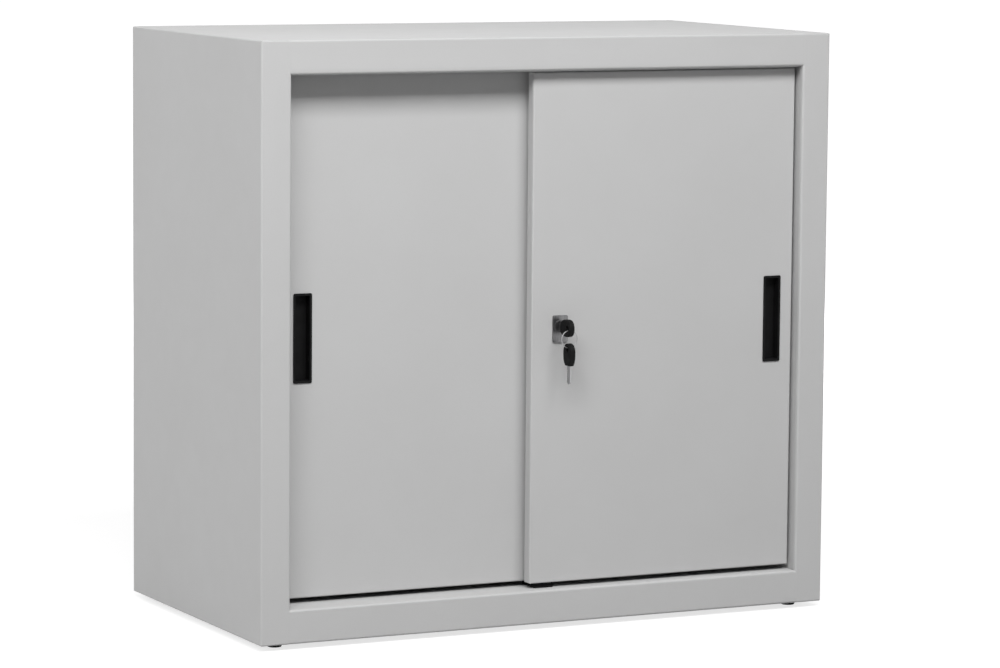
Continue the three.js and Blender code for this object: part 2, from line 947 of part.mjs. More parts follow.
// The lock's escutcheon and case, with a bore for the plug
function lockCase() {
  const bore = rod(
    'alongY', [lockX, lockZ], plug.radius + runGap, plateFront - overrun,
    plateBack + lock.caseDepth + overrun,
  );
  const outline = (width, height, corner) => roundedRectangle(
    lockX - width / 2, lockX + width / 2, plateZ - height / 2, plateZ + height / 2, corner,
  );
  const plate = extrude(
    outline(lock.plateWidth, lock.plateHeight, lock.plateCorner), 'alongY',
    plateFront, plateBack,
  );
  const body = extrude(
    outline(lock.caseWidth, lock.caseHeight, lock.caseCorner), 'alongY',
    plateBack, plateBack + lock.caseDepth,
  );
  return cut(join(plate, body), bore);
}

function lockHole() {
  const halfX = lock.caseWidth / 2 + restGap;
  const halfZ = lock.caseHeight / 2 + restGap;
  return extrude(
    roundedRectangle(
      lockX - halfX, lockX + halfX, plateZ - halfZ, plateZ + halfZ, lock.caseCorner,
    ),
    'alongY', frontDoor.face - overrun, frontDoor.face + door.bend,
  );
}

function squareBar(half, from, to) {
  return block(lockX - half, lockX + half, from, to, lockZ - half, lockZ + half);
}

function lockPlug() {
  const axis = [lockX, lockZ];
  const squareEnd = plugBack + plug.squareLength;
  const halfWay = key.bladeThickness / 2 + key.keywayClear;
  const halfTall = key.bladeHeight / 2 + key.keywayClear;
  const keyway = block(
    lockX - halfWay, lockX + halfWay, plugFront - overrun,
    keyShoulder + key.bladeLength + key.keywayClear, lockZ - halfTall, lockZ + halfTall,
  );
  const body = join(
    rod('alongY', axis, plug.headRadius, plugFront, plugFront + plug.headThickness),
    rod('alongY', axis, plug.radius, plugFront, plugBack),
    squareBar(plug.square / 2, plugBack - runGap, squareEnd),
    rod('alongY', axis, plug.studRadius, squareEnd - runGap, squareEnd + plug.studLength),
  );
  return cut(body, keyway);
}

// The cam points to the right when the lock is open
function lockCam() {
  const outline = new THREE.Shape();
  const lean = Math.acos((cam.bossRadius - cam.tipRadius) / cam.reach);
  outline.absarc(lockX, lockZ, cam.bossRadius, lean, 2 * Math.PI - lean);
  outline.absarc(lockX + cam.reach, lockZ, cam.tipRadius, -lean, lean);
  const plate = new THREE.Shape(outline.getPoints(holeSteps));
  const blank = extrude(plate, 'alongY', camFront, camFront + cam.thickness);
  const hole = squareBar(plug.square / 2 + restGap, camFront - overrun, nutFront + overrun);
  return cut(blank, hole);
}

function camHexNut() {
  const hexSides = 6;
  const corner = camNut.acrossFlats / 2 / Math.cos(Math.PI / hexSides);
  const back = nutFront + camNut.thickness;
  const axis = [lockX, lockZ];
  const hex = rod('alongY', axis, corner, nutFront, back, hexSides);
  const hole = rod(
    'alongY', axis, plug.studRadius + restGap, nutFront - overrun, back + overrun, holeSteps,
  );
  return cut(hex, hole);
}

// The angle on the rear door that the cam rises behind when it is turned up
function strikeAngle() {
  const t = strike.sheet;
  const seat = rearDoor.face - restGap - t / 2;
  const tab = lockX - strike.fromAxis;
  const section = foldedSection([
    [tab - strike.foot, seat],
    [tab, seat],
    [tab, rearDoor.face - strike.reach],
  ], t, strike.bend);
  const low = lockZ + strike.rise;
  return extrude(section, 'alongZ', low, low + strike.height);
}

// A key drawn in its own plane: the blade runs along +u from the shoulder at u = 0
function keyBladeShape() {
  const half = key.bladeHeight / 2;
  const outline = new THREE.Shape();
  const end = key.bladeLength;
  outline.moveTo(-key.tangDepth, -half);
  outline.lineTo(end - key.tip, -half);
  outline.lineTo(end, key.tip - half);
  outline.lineTo(end, half - key.tip);
  outline.lineTo(end - key.tip, half);
  for (let u = end - 2 * key.tip; u > key.stand + key.cutWidth; u -= 2 * key.cutWidth) {
    outline.lineTo(u, half);
    outline.lineTo(u - key.cutWidth / 2, half - key.cutDepth);
    outline.lineTo(u - key.cutWidth, half);
  }
  outline.lineTo(-key.tangDepth, half);
  outline.closePath();
  return outline;
}

function keyHeadShape() {
  const end = key.headLength - key.headBevel;
  const half = key.headWidth / 2 - key.headBevel;
  const neck = key.neckWidth / 2 - key.headBevel;
  const start = -key.headBevel;
  const r = key.headCorner;
  const outline = new THREE.Shape();
  outline.moveTo(start, -neck);
  outline.lineTo(start, neck);
  outline.quadraticCurveTo(-key.tangDepth, half, -end / 2, half);
  outline.lineTo(r - end, half);
  outline.absarc(r - end, half - r, r, Math.PI / 2, Math.PI);
  outline.lineTo(-end, r - half);
  outline.absarc(r - end, r - half, r, Math.PI, 1.5 * Math.PI);
  outline.lineTo(-end / 2, -half);
  outline.quadraticCurveTo(-key.tangDepth, -half, start, -neck);
  return outline;
}

function keyBlade() {
  const half = key.bladeThickness / 2;
  const geometry = new THREE.ExtrudeGeometry(keyBladeShape(), {
    depth: key.bladeThickness,
    bevelEnabled: false,
  });
  geometry.translate(0, 0, -half);
  return solid(geometry);
}

function keyHead() {
  const flat = key.headThickness - 2 * key.headBevel;
  const geometry = new THREE.ExtrudeGeometry(keyHeadShape(), {
    depth: flat,
    bevelEnabled: true,
    bevelThickness: key.headBevel,
    bevelSize: key.headBevel,
    bevelSegments: 2,
    curveSegments: bendSteps,
  });
  geometry.translate(0, 0, -flat / 2);
  const hole = rod(
    'alongZ', [key.holeFromEnd - key.headLength, 0], key.holeRadius,
    -key.headThickness, key.headThickness, holeSteps,
  );
  const halfTall = key.bladeHeight / 2 + restGap;
  const halfThick = key.bladeThickness / 2 + restGap;
  const tang = block(
    -key.tangDepth - restGap, overrun, -halfTall, halfTall, -halfThick, halfThick,
  );
  return cut(solid(geometry), hole, tang);
}

// Turns the key's own u, v and thickness onto the cabinet's axes
function placeKey(shape, along, up, origin) {
  const out = new THREE.Vector3().crossVectors(along, up);
  return shape.transform([
    along.x, along.y, along.z, 0,
    up.x, up.y, up.z, 0,
    out.x, out.y, out.z, 0,
    origin.x, origin.y, origin.z, 1,
  ]);
}

// How far the ring's middle line drops from its top to where it leaves the key head
const ringSag = ring.radius
  - Math.sqrt(ring.radius ** 2 - (key.headThickness / 2) ** 2);
const ringLift = ring.wire + restGap + ringSag;
const ringZ = lockZ - key.holeRadius + ringLift - ring.radius;
const spareHoleZ = ringZ - ring.radius + ringLift - key.holeRadius;

function keyRing() {
  const geometry = new THREE.TorusGeometry(ring.radius, ring.wire, wireSteps, ringSteps);
  geometry.rotateX(Math.PI / 2);
  geometry.translate(lockX, keyHoleY, ringZ);
  return solid(geometry);
}

const xAxis = new THREE.Vector3(1, 0, 0);
const yAxis = new THREE.Vector3(0, 1, 0);
const zAxis = new THREE.Vector3(0, 0, 1);

function lockKey(shape) {
  return placeKey(shape, yAxis, zAxis, new THREE.Vector3(lockX, keyShoulder, lockZ));
}

function spareKey(shape) {
  const shoulder = spareHoleZ + key.holeFromEnd - key.headLength;
  const origin = new THREE.Vector3(lockX, keyHoleY, shoulder);
  return placeKey(shape, zAxis.clone().negate(), yAxis, origin);
}

function mirrored(shape) {
  return shape.mirror(xAxis.toArray());
}

function buildCase(cabinet) {
  const skins = caseSkin();
  const rightSide = sidePanel(skins);
  const rightPost = doorPost();
  cabinet.add(
    piece('left_side_panel', mirrored(rightSide), paint),
    piece('right_side_panel', rightSide, paint),
    piece('top_panel', topPanel(skins), paint),
    piece('base_panel', basePanel(), paint),
    piece('rail_cover', railCover(), paint),
    piece('door_post_left', mirrored(rightPost), paint),
    piece('door_post_right', rightPost, paint),
    piece('back_panel', backPanel(), paint),
    piece('floor_stiffener', floorStiffener(), paint),
    piece('hanging_rail', hangingRail(), zinc),
    piece('floor_guide', floorGuide(), blackPlastic),
    piece('front_rail_buffer_left', railBuffer(frontDoor, -1), rubber),
    piece('front_rail_buffer_right', railBuffer(frontDoor, 1), rubber),
    piece('rear_rail_buffer_left', railBuffer(rearDoor, -1), rubber),
    piece('rear_rail_buffer_right', railBuffer(rearDoor, 1), rubber),
  );
  const depths = { front: upright.fromFront, rear: backFace - upright.fromBack };
  for (const [place, y] of Object.entries(depths)) {
    const bar = shelfUpright(y);
    const hook = shelfClip(y);
    cabinet.add(
      piece(`shelf_upright_${place}_left`, mirrored(bar), zinc),
      piece(`shelf_upright_${place}_right`, bar, zinc),
      piece(`shelf_clip_${place}_left`, mirrored(hook), zinc),
      piece(`shelf_clip_${place}_right`, hook, zinc),
    );
  }
  cabinet.add(piece('shelf', shelfTray(), paint));
  const glideX = halfWidth - glide.fromSide;
  const glideDepths = { front: glide.fromFront, rear: backFace - glide.fromBack };
  for (const [place, y] of Object.entries(glideDepths)) {
    cabinet.add(
      piece(`glide_${place}_left`, glideFoot().translate([-glideX, y, 0]), blackPlastic),
      piece(`glide_${place}_right`, glideFoot().translate([glideX, y, 0]), blackPlastic),
    );
  }
}

function buildDoor(cabinet, name, leaf) {
  const hole = leaf === frontDoor ? [lockHole()] : [];
  cabinet.add(
    piece(`${name}_panel`, cut(doorPan(leaf), ...hole), paint),
    piece(`${name}_stiffener`, doorStiffener(leaf), paint),
    piece(`${name}_guide_channel`, guideChannel(leaf), zinc),
    piece(`${name}_pull`, recessedPull(leaf), blackPlastic),
  );
  const sides = ['left', 'right'];
  hangerPlaces(leaf).forEach((x, i) => {
    cabinet.add(
      piece(`${name}_hanger_${sides[i]}`, hangerPlate(leaf, x), zinc),
      piece(`${name}_axle_${sides[i]}`, rollerAxle(leaf, x), zinc),
      piece(`${name}_roller_${sides[i]}`, groovedRoller(leaf, x), nylon),
    );
  });
}

function buildLock(cabinet) {
  cabinet.add(
    piece('lock_case', lockCase(), darkMetal),
    piece('lock_plug', lockPlug(), darkMetal),
    piece('lock_cam', lockCam(), zinc),
    piece('lock_cam_nut', camHexNut(), zinc),
    piece('lock_strike', strikeAngle(), zinc),
    piece('key_blade', lockKey(keyBlade()), nickel),
    piece('key_head', lockKey(keyHead()), blackPlastic),
    piece('key_ring', keyRing(), nickel),
    piece('spare_key_blade', spareKey(keyBlade()), nickel),
    piece('spare_key_head', spareKey(keyHead()), blackPlastic),
  );
}

const cabinet = new THREE.Group();
buildCase(cabinet);
buildDoor(cabinet, 'front_door', frontDoor);
buildDoor(cabinet, 'rear_door', rearDoor);
buildLock(cabinet);
cabinet.position.y = -(keyFront + caseSize.depth) / 2;

export default cabinet;
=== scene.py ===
import json
import math

import bmesh
import bpy
import numpy as np
from mathutils import Matrix, Vector


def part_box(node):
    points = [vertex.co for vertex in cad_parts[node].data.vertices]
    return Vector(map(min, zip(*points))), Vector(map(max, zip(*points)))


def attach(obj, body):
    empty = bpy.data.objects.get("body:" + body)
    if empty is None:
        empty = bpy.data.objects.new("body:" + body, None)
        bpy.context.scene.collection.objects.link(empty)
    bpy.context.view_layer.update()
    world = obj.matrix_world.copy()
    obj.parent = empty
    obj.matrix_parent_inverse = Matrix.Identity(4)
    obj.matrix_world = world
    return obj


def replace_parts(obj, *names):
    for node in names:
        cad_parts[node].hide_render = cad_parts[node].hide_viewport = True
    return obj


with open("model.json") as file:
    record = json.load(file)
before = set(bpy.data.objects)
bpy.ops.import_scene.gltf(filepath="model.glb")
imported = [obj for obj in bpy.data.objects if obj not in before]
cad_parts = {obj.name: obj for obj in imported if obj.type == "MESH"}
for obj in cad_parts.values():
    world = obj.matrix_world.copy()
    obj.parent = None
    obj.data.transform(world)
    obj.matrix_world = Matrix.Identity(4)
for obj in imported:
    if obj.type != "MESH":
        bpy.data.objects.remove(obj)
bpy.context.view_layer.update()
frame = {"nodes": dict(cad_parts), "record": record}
NODES = frame["nodes"]
RECORD = frame["record"]
SLOTS = {row["node"]: row["material_slot"] for row in RECORD["subparts"]}
BODIES = {
    node: body
    for body, nodes in RECORD["behaviour"]["bodies"].items()
    for node in nodes
}
MM = 0.001
SIDES = ((-1, "left"), (1, "right"))


# Materials
class Nodes:
    """A short way to write a node tree. A source is a node and the name of its output."""

    def __init__(self, name):
        self.material = bpy.data.materials.new(name)
        self.material.use_nodes = True
        self.tree = self.material.node_tree
        self.tree.nodes.clear()
        out = self.add("ShaderNodeOutputMaterial")
        self.shader = self.add("ShaderNodeBsdfPrincipled")
        self.join((self.shader, "BSDF"), out, "Surface")
        self.place = self.add("ShaderNodeTexCoord")

    def add(self, kind, **values):
        node = self.tree.nodes.new(kind)
        for key, value in values.items():
            if key in node.inputs:
                node.inputs[key].default_value = value
            else:
                setattr(node, key, value)
        return node

    def join(self, source, node, socket):
        self.tree.links.new(source[0].outputs[source[1]], node.inputs[socket])

    def set(self, **values):
        for key, value in values.items():
            self.shader.inputs[key.replace("_", " ")].default_value = value

    def scaled(self, x, y, z):
        """Object coordinates, stretched along the axes."""
        mapping = self.add("ShaderNodeMapping")
        mapping.inputs["Scale"].default_value = (x, y, z)
        self.join((self.place, "Object"), mapping, "Vector")
        return mapping, "Vector"

    def noise(self, scale, detail, rough, source=None):
        node = self.add("ShaderNodeTexNoise", Scale=scale, Detail=detail, Roughness=rough)
        self.join(source or (self.place, "Object"), node, "Vector")
        return node, "Fac"

    def cells(self, scale):
        node = self.add("ShaderNodeTexVoronoi", Scale=scale, feature="F1")
        self.join((self.place, "Object"), node, "Vector")
        return node, "Distance"

    def edges(self):
        """How far a spot sticks out of the form around it: above a half on outer edges."""
        return self.add("ShaderNodeNewGeometry"), "Pointiness"

    def ramp(self, source, first, last):
        """Runs between two colours. Each end is a level of the source and its colour."""
        node = self.add("ShaderNodeValToRGB")
        for element, (level, colour) in zip(node.color_ramp.elements, (first, last)):
            element.position, element.color = level, (*colour, 1)
        self.join(source, node, "Fac")
        return node, "Color"

    def spread(self, source, to, of=(0.3, 0.7)):
        """Maps a range of the source to another range of values."""
        node = self.add("ShaderNodeMapRange")
        for key, value in zip(("From Min", "From Max", "To Min", "To Max"), (*of, *to)):
            node.inputs[key].default_value = value
        self.join(source, node, "Value")
        return node, "Result"

    def tint(self, share, under, colour):
        """Lays a plain colour over a source, by the share that another source gives."""
        node = self.add("ShaderNodeMix", data_type="RGBA", blend_type="MIX")
        sockets = {"share": 0, "under": 6, "over": 7}
        self.join(share, node, sockets["share"])
        self.join(under, node, sockets["under"])
        node.inputs[sockets["over"]].default_value = (*colour, 1)
        return node, 2

    def colour(self, source):
        self.join(source, self.shader, "Base Color")

    def rough(self, source):
        self.join(source, self.shader, "Roughness")

    def bump(self, source, distance, strength, under=None):
        node = self.add("ShaderNodeBump", Strength=strength, Distance=distance)
        self.join(source, node, "Height")
        if under:
            self.join((under, "Normal"), node, "Normal")
        self.join((node, "Normal"), self.shader, "Normal")
        return node


def grey(level, warm=0.0):
    return (level * (1 + warm), level, level * (1 - warm))


def powder_coat():
    """Light grey powder coat: orange peel, faint clouds and outer edges painted a little paler.
    """
    tone = 0.575
    m = Nodes("powder_coat")
    base = m.ramp(
        m.noise(scale=7.0, detail=3.0, rough=0.55),
        (0.25, grey(tone * 0.985, 0.001)), (0.75, grey(tone * 1.015, -0.001)))
    specks = m.noise(scale=900.0, detail=1.0, rough=0.5)
    base = m.tint(m.spread(specks, to=(0.0, 1.0), of=(0.66, 0.78)), base, grey(tone * 0.94))
    # Outer edges painted a little paler than the rest of the coat.
    pale_edges = m.spread(m.edges(), to=(0.0, 0.22), of=(0.53, 0.6))
    m.colour(m.tint(pale_edges, base, grey(tone * 1.1)))
    m.rough(m.spread(m.noise(scale=38.0, detail=3.0, rough=0.6), to=(0.52, 0.62)))
    wave = m.bump(m.noise(scale=14.0, detail=1.0, rough=0.4), distance=0.25 * MM, strength=0.5)
    m.bump(m.noise(scale=620.0, detail=2.0, rough=0.5), distance=0.04 * MM, strength=0.55,
           under=wave)
    m.set(Specular_IOR_Level=0.32, IOR=1.46)
    return m.material


def zinc_plate():
    """Bright zinc plate with rolled streaks, a cool bloom and handling marks."""
    m = Nodes("zinc_plate")
    streaks = m.noise(scale=60.0, detail=4.0, rough=0.65, source=m.scaled(0.6, 9.0, 9.0))
    bloom = m.noise(scale=24.0, detail=2.0, rough=0.5)
    base = m.ramp(streaks, (0.3, (0.50, 0.51, 0.52)), (0.7, (0.68, 0.69, 0.70)))
    m.colour(m.tint(m.spread(bloom, to=(0.0, 0.5), of=(0.4, 0.7)), base, (0.58, 0.60, 0.65)))
    m.rough(m.spread(streaks, to=(0.28, 0.46)))
    m.bump(m.noise(scale=500.0, detail=2.0, rough=0.6), distance=0.02 * MM, strength=0.4)
    m.set(Metallic=1.0)
    return m.material


def dark_metal():
    """Dark nickel on die-cast zinc: a satin grain with brighter rubbed edges."""
    m = Nodes("dark_metal")
    grain = m.noise(scale=700.0, detail=2.0, rough=0.6, source=m.scaled(1.0, 1.0, 0.08))
    base = m.ramp(grain, (0.3, (0.15, 0.15, 0.154)), (0.72, (0.23, 0.23, 0.234)))
    pale_edges = m.spread(m.edges(), to=(0.0, 0.6), of=(0.54, 0.64))
    m.colour(m.tint(pale_edges, base, (0.36, 0.36, 0.364)))
    m.rough(m.spread(m.noise(scale=160.0, detail=3.0, rough=0.6), to=(0.26, 0.42)))
    m.bump(grain, distance=0.03 * MM, strength=0.35)
    m.set(Metallic=1.0)
    return m.material


def nickel_plate():
    """Nickel dulled by fine scratches."""
    m = Nodes("nickel_plate")
    lines = m.noise(scale=420.0, detail=3.0, rough=0.7, source=m.scaled(2.2, 2.2, 0.25))
    m.colour(m.ramp(lines, (0.3, (0.33, 0.33, 0.335)), (0.7, (0.46, 0.46, 0.465))))
    m.rough(m.spread(lines, to=(0.36, 0.5)))
    m.bump(lines, distance=0.02 * MM, strength=0.3)
    m.set(Metallic=1.0)
    return m.material


def black_plastic():
    """Black moulded plastic with a fine spark-eroded grain."""
    m = Nodes("black_plastic")
    base = m.ramp(
        m.noise(scale=40.0, detail=3.0, rough=0.6),
        (0.3, (0.003, 0.003, 0.0032)), (0.7, (0.007, 0.007, 0.0074)))
    pale_edges = m.spread(m.edges(), to=(0.0, 0.5), of=(0.54, 0.66))
    m.colour(m.tint(pale_edges, base, (0.014, 0.014, 0.0145)))
    m.rough(m.spread(m.noise(scale=90.0, detail=2.0, rough=0.5), to=(0.55, 0.7)))
    m.bump(m.cells(scale=2200.0), distance=0.05 * MM, strength=0.5)
    m.set(Specular_IOR_Level=0.12)
    return m.material


def nylon():
    """Natural nylon: creamy, a little translucent, with faint flow marks."""
    m = Nodes("nylon")
    flow = m.noise(scale=55.0, detail=4.0, rough=0.6, source=m.scaled(1.0, 0.5, 1.0))
    m.colour(m.ramp(flow, (0.3, (0.70, 0.69, 0.63)), (0.7, (0.80, 0.79, 0.74))))
    m.rough(m.spread(flow, to=(0.36, 0.5)))
    m.bump(m.noise(scale=300.0, detail=2.0, rough=0.5), distance=0.03 * MM, strength=0.35)
    m.set(Subsurface_Weight=0.15, Subsurface_Radius=(4 * MM, 3 * MM, 2 * MM))
    return m.material


def buffer_rubber():
    """Matt black rubber with a dusty bloom."""
    m = Nodes("buffer_rubber")
    m.colour(m.ramp(
        m.noise(scale=120.0, detail=4.0, rough=0.65),
        (0.35, (0.014, 0.014, 0.015)), (0.75, (0.035, 0.034, 0.034))))
    m.rough(m.spread(m.noise(scale=200.0, detail=2.0, rough=0.5), to=(0.72, 0.9)))
    m.bump(m.noise(scale=900.0, detail=2.0, rough=0.6), distance=0.06 * MM, strength=0.5)
    return m.material


MATERIALS = {
    "powder_coat": powder_coat(),
    "zinc_plate": zinc_plate(),
    "dark_metal": dark_metal(),
    "nickel_plate": nickel_plate(),
    "black_plastic": black_plastic(),
    "nylon": nylon(),
    "buffer_rubber": buffer_rubber(),
}
EDGE_WIDTHS = {
    "powder_coat": 0.12 * MM,
    "zinc_plate": 0.1 * MM,
    "dark_metal": 0.25 * MM,
    "nickel_plate": 0.1 * MM,
    "black_plastic": 0.25 * MM,
    "nylon": 0.3 * MM,
    "buffer_rubber": 0.5 * MM,
}


def dress(obj, slot):
    obj.data.materials.clear()
    obj.data.materials.append(MATERIALS[slot])


def shade_bends(obj, angle):
    """Shades a bend smoothly where its facets meet at less than the angle, in degrees."""
    split = obj.modifiers.new("split", "EDGE_SPLIT")
    split.split_angle, split.use_edge_sharp = math.radians(angle), False
    normals = obj.modifiers.new("normals", "WEIGHTED_NORMAL")
    normals.mode, normals.keep_sharp, normals.weight = "FACE_AREA", True, 100


def smooth_faces(obj):
    for face in obj.data.polygons:
        face.use_smooth = True


def soften(obj, width):
    """Rounds the sharp edges of a CAD mesh a little."""
    smooth_faces(obj)
    obj.modifiers.new("weld", "WELD").merge_threshold = 0.002 * MM
    bevel = obj.modifiers.new("edges", "BEVEL")
    bevel.width, bevel.segments = width, 2
    bevel.limit_method, bevel.angle_limit = "ANGLE", math.radians(50)
    bevel.use_clamp_overlap = True
    shade_bends(obj, 35)


for name, obj in NODES.items():
    dress(obj, SLOTS[name])
    soften(obj, EDGE_WIDTHS[SLOTS[name]])


# Tools for small pieces and turned forms
def corners(node):
    low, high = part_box(node)
    return Vector(low), Vector(high)


def middle(node):
    low, high = corners(node)
    return (low + high) / 2


def finish_piece(name, bm, slot, body, angle=35):
    bmesh.ops.recalc_face_normals(bm, faces=bm.faces)
    mesh = bpy.data.meshes.new(name)
    bm.to_mesh(mesh)
    bm.free()
    obj = bpy.data.objects.new(name, mesh)
    bpy.context.scene.collection.objects.link(obj)
    dress(obj, slot)
    smooth_faces(obj)
    shade_bends(obj, angle)
    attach(obj, body)
    return obj


def turn(bm, profile, at, axis, steps):
    """Adds a form turned about an axis. The profile is (radius, height) in mm."""
    quat = Vector(axis).to_track_quat("Z", "Y")
    rings = []
    for radius, height in profile:
        count = 1 if radius == 0 else steps
        rings.append([
            bm.verts.new(Vector(at) + quat @ Vector((
                radius * MM * math.cos(math.tau * i / steps),
                radius * MM * math.sin(math.tau * i / steps),
                height * MM)))
            for i in range(count)])
    for a, b in zip(rings, rings[1:]):
        for i in range(steps):
            j = (i + 1) % steps
            ends = [a[i % len(a)], a[j % len(a)], b[j % len(b)], b[i % len(b)]]
            ends = list(dict.fromkeys(ends))
            if len(ends) > 2:
                bm.faces.new(ends)


def band(bm, a, b):
    """Joins two rings of vertices with a band of faces."""
    for i in range(len(a)):
        j = (i + 1) % len(a)
        bm.faces.new((a[i], a[j], b[j], b[i]))


def sweep(bm, stations):
    """Joins rings of points into one closed form with flat ends."""
    rings = [[bm.verts.new(point) for point in ring] for ring in stations]
    for a, b in zip(rings, rings[1:]):
        band(bm, a, b)
    bm.faces.new(list(reversed(rings[0])))
    bm.faces.new(rings[-1])


# Welds, ground flush where the cross members of the frame meet the stiles
WELD_FOLD = 3 * MM
WELD_FROM, WELD_TO = -0.3 * MM, 3.4 * MM
WELD_CROWN, WELD_SINK = 0.03 * MM, 0.05 * MM
WELD_EDGE_DROP = 0.06 * MM
WELD_ROOT = 0.6 * MM
FOLD_STEPS, FACE_STEPS, ACROSS_STEPS = 6, 8, 8


def weld_line(face_y, low, high):
    """The weld's way round the lower fold, up the face and round the upper fold.

    Each point is (y, z, outward y, outward z, lift).
    """
    line = []
    for i in range(FOLD_STEPS + 1):
        done = i / FOLD_STEPS
        cos, sin = math.cos(math.pi / 2 * (1 - done)), math.sin(math.pi / 2 * (1 - done))
        line.append((face_y + WELD_FOLD * (1 - cos), low + WELD_FOLD * (1 - sin), -cos, -sin,
                     -WELD_SINK + (WELD_CROWN + WELD_SINK) * done))
    for i in range(1, FACE_STEPS + 1):
        z = low + WELD_FOLD + (high - low - 2 * WELD_FOLD) * i / FACE_STEPS
        line.append((face_y, z, -1.0, 0.0, WELD_CROWN))
    for i in range(1, FOLD_STEPS + 1):
        done = i / FOLD_STEPS
        cos, sin = math.cos(math.pi / 2 * done), math.sin(math.pi / 2 * done)
        line.append((face_y + WELD_FOLD * (1 - cos), high - WELD_FOLD * (1 - sin), -cos, sin,
                     WELD_CROWN - (WELD_CROWN + WELD_SINK) * done))
    return line


def weld_fill(name, side, end, face_y, low, high):
    x_from, x_to = end + WELD_FROM, end + WELD_TO
    stations = []
    for y, z, out_y, out_z, lift in weld_line(face_y, low, high):
        ring = []
        for i in range(ACROSS_STEPS + 1):
            across = i / ACROSS_STEPS
            rise = lift - WELD_EDGE_DROP * (2 * across - 1) ** 4
            x = side * (x_from + (x_to - x_from) * across)
            ring.append(Vector((x, y + out_y * rise, z + out_z * rise)))
        for x in (side * x_to, side * x_from):
            ring.append(Vector((x, y - out_y * WELD_ROOT, z - out_z * WELD_ROOT)))
        stations.append(ring)
    bm = bmesh.new()
    sweep(bm, stations)
    finish_piece(name, bm, "powder_coat", BODIES["top_panel"], 50)


def frame_welds():
    face_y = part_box("top_panel")[0][1]
    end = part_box("rail_cover")[1][0]
    for part, place in (("top_panel", "head"), ("base_panel", "sill")):
        low, high = corners(part)
        for side, word in SIDES:
            weld_fill(f"weld_{place}_{word}", side, end, face_y, low.z, high.z)


# Section of the seam as (y, z) in mm, from the corner of the back panel and the floor
SEAM = [(-1.5, -0.15), (-1.5, 0.02), (-1.0, 0.12), (-0.5, 0.5), (-0.12, 1.1), (0.0, 1.7),
        (0.6, 1.7), (0.6, -0.5)]
SEAM_END = 0.3 * MM
SEAM_STATIONS = 9


def floor_seam():
    """A sealed fillet inside, where the back panel stands on the floor."""
    low, high = corners("back_panel")
    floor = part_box("base_panel")[1][2]
    bm = bmesh.new()
    sweep(bm, [[Vector((x, low.y + y * MM, floor + z * MM)) for y, z in SEAM]
               for x in np.linspace(low.x + SEAM_END, high.x - SEAM_END, SEAM_STATIONS)])
    finish_piece("floor_seam", bm, "powder_coat", BODIES["base_panel"], 60)


# Half of the roller's profile, from its middle plane outwards
ROLLER_HALF = [
    (2.6, 0), (2.6, 4), (4.6, 4), (4.9, 3.7), (6.4, 3.7), (6.7, 4), (9.2, 4), (9.8, 3.6),
    (10, 3.2), (10, 2.6), (9.6, 2.2), (8.6, 1.4), (8.1, 1.1), (8, 0.9), (8, 0)]
GLIDE = [
    (0, 0.25), (5.5, 0.15), (7.4, 0), (8.3, 0.2), (8.8, 0.7), (9, 1.4), (9, 6.0), (8.8, 6.45),
    (8.3, 6.7), (4, 6.7), (4, 8.1), (4.7, 8.1), (4.8, 8.5), (3.2, 16.8), (2.8, 17.1), (0, 17.1)]
ROLLER_STEPS, GLIDE_STEPS = 72, 64
SAME_PLACE = 1e-7


def turned_rollers():
    profile = ROLLER_HALF + [(radius, -height) for radius, height in reversed(ROLLER_HALF)]
    for node in [n for n in NODES if "_roller_" in n]:
        bm = bmesh.new()
        turn(bm, profile, middle(node), (0, 1, 0), ROLLER_STEPS)
        bmesh.ops.remove_doubles(bm, verts=bm.verts, dist=SAME_PLACE)
        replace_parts(finish_piece(node + "_turned", bm, "nylon", BODIES[node], 40), node)


def turned_glides():
    for node in [n for n in NODES if n.startswith("glide_")]:
        bm = bmesh.new()
        at = middle(node)
        turn(bm, GLIDE, (at.x, at.y, 0.0), (0, 0, 1), GLIDE_STEPS)
        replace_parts(finish_piece(node + "_moulded", bm, "black_plastic", BODIES[node]), node)


RING_RADIUS = 11 * MM
RING_PITCH = 0.29 * MM
RING_TURNS = 2
RING_STEPS, WIRE_STEPS = 80, 12
WIRE_DEEP, WIRE_THICK = 0.5 * MM, 0.28 * MM


def split_ring():
    """Two turns of flattened wire, one beside the other."""
    at = middle("key_ring")
    stations = []
    for i in range(RING_STEPS * RING_TURNS + 1):
        t = i / RING_STEPS
        a = math.tau * t - math.pi / 2
        out = Vector((math.cos(a), 0, math.sin(a)))
        centre = at + out * RING_RADIUS + Vector((0, (t - RING_TURNS / 2) * RING_PITCH, 0))
        stations.append([
            centre + out * WIRE_DEEP * math.cos(b) + Vector((0, WIRE_THICK * math.sin(b), 0))
            for b in [math.tau * k / WIRE_STEPS for k in range(WIRE_STEPS)]])
    bm = bmesh.new()
    sweep(bm, stations)
    ring = finish_piece("key_ring_split", bm, "nickel_plate", BODIES["key_ring"], 60)
    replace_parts(ring, "key_ring")


GRIP_LONG, GRIP_CROSS = 6.4 * MM, 5.6 * MM
GRIP_SHIFT = 3.2 * MM
GRIP_WIDE, GRIP_PROUD = 0.45 * MM, 0.25 * MM
GRIP_STEPS, GRIP_ROUND = 48, 8


